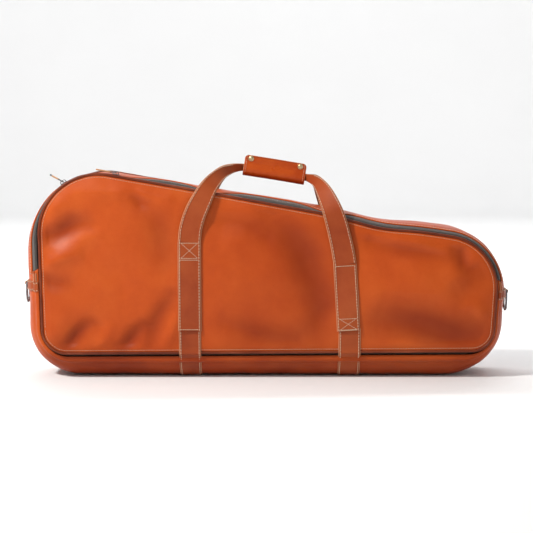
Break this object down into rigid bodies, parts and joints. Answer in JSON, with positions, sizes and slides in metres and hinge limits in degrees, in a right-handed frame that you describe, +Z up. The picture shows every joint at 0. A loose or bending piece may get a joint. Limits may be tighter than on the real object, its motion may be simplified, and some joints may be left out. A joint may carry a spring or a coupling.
{
  "type": "cue case",
  "caption": "Soft leather duffel-style cue case with a sloping top, two-way zip, wrap-round carrying straps, snapped grip and end rings",
  "frame": {"origin": "on the floor, under the middle of the case's overall box; the case stands on the two straps that wrap under it", "axes": "+X along the case towards its low end, +Y from the zip side to the back, +Z up"},
  "size_m": [0.8584, 0.1816, 0.389],
  "materials": {
    "body_leather": "smooth semi-gloss cognac leather",
    "piping_leather": "rolled leather piping, darker than the panels",
    "strap_leather": "brown strap leather with raised pale edge stitching",
    "grip_leather": "glossy red-brown leather wrap",
    "snap_brass": "worn brass dome snaps",
    "zip_tape": "dark woven tape",
    "zip_teeth": "grey-brown moulded teeth",
    "zip_metal": "gunmetal zip sliders",
    "puller_leather": "tan leather zip pulls",
    "ring_metal": "black nickel D-rings",
    "board": "stiff fibre base board",
    "lining_cloth": "dark brown woven lining",
    "foam": "dense closed-cell foam",
    "hold_strap": "hook-and-loop webbing"
  },
  "bodies": {
    "case": {"back_panel": "body_leather", "back_piping": "piping_leather", "base_board": "board", "bottom_gusset": "body_leather", "cue_cradle_left": "foam", "cue_cradle_right": "foam", "cue_strap_left": "hold_strap", "cue_strap_right": "hold_strap", "front_panel": "body_leather", "front_piping": "piping_leather", "lining": "lining_cloth", "ring_tab_left": "strap_leather", "ring_tab_right": "strap_leather", "riser_back_left": "strap_leather", "riser_back_right": "strap_leather", "riser_front_left": "strap_leather", "riser_front_right": "strap_leather", "strap_back_left": "strap_leather", "strap_back_right": "strap_leather", "strap_front_left": "strap_leather", "strap_front_right": "strap_leather", "top_strip_left": "body_leather", "top_strip_margin": "body_leather", "top_strip_right": "body_leather", "under_strap_left": "strap_leather", "under_strap_right": "strap_leather", "zip_end_left": "strap_leather", "zip_end_right": "strap_leather", "zip_tape_back_left": "zip_tape", "zip_tape_back_right": "zip_tape", "zip_tape_front": "zip_tape", "zip_teeth_back_left": "zip_teeth", "zip_teeth_back_right": "zip_teeth", "zip_teeth_front": "zip_teeth"},
    "mouth_flap": {"top_strip_flap": "body_leather", "zip_tape_flap": "zip_tape", "zip_teeth_flap": "zip_teeth"},
    "zip_slider_left": {"slider_left": "zip_metal"},
    "zip_puller_left": {"puller_left": "puller_leather"},
    "zip_slider_right": {"slider_right": "zip_metal"},
    "zip_puller_right": {"puller_right": "puller_leather"},
    "end_ring_left": {"ring_left": "ring_metal"},
    "end_ring_right": {"ring_right": "ring_metal"},
    "handle": {"grip_back_leaf": "grip_leather", "snap_studs": "snap_brass", "strap_core_front": "strap_leather", "strap_core_back": "strap_leather"},
    "grip_wrap": {"grip_front_leaf": "grip_leather", "snap_caps": "snap_brass"}
  },
  "joints": [
    {"name": "mouth_hinge", "type": "hinge", "parent": "case", "child": "mouth_flap", "pos_m": [0.00234, 0.068, 0.30607], "axis": [0.9857, 0, -0.1688], "range_deg": [0, 75]},
    {"name": "left_slider_run", "type": "hinge", "parent": "case", "child": "zip_slider_left", "pos_m": [-0.28747, -0.067, 0.24031], "axis": [0, -1, 0], "range_deg": [0, 52]},
    {"name": "left_puller_tilt", "type": "hinge", "parent": "zip_slider_left", "child": "zip_puller_left", "pos_m": [-0.35163, -0.067, 0.343], "axis": [0, 1, 0], "range_deg": [-55, 110]},
    {"name": "right_slider_run", "type": "slide", "parent": "case", "child": "zip_slider_right", "axis": [0.9858, 0, -0.1682], "range_m": [0, 0.575]},
    {"name": "right_puller_tilt", "type": "hinge", "parent": "zip_slider_right", "child": "zip_puller_right", "pos_m": [-0.26014, -0.067, 0.35849], "axis": [0, 1, 0], "range_deg": [0, 165]},
    {"name": "left_ring_swing", "type": "hinge", "parent": "case", "child": "end_ring_left", "pos_m": [-0.42511, 0, 0.162], "axis": [0, 1, 0], "range_deg": [0, 140]},
    {"name": "right_ring_swing", "type": "hinge", "parent": "case", "child": "end_ring_right", "pos_m": [0.4249, 0, 0.147], "axis": [0, -1, 0], "range_deg": [0, 140]},
    {"name": "grip_drop", "type": "slide", "parent": "case", "child": "handle", "axis": [0, 0, -1], "range_m": [0, 0.02], "deforming": ["riser_front_left", "riser_back_left", "riser_front_right", "riser_back_right"]},
    {"name": "grip_unwrap", "type": "hinge", "parent": "handle", "child": "grip_wrap", "pos_m": [0.01104, 0, 0.34424], "axis": [0.9871, 0, -0.1599], "range_deg": [0, 80]}
  ]
}
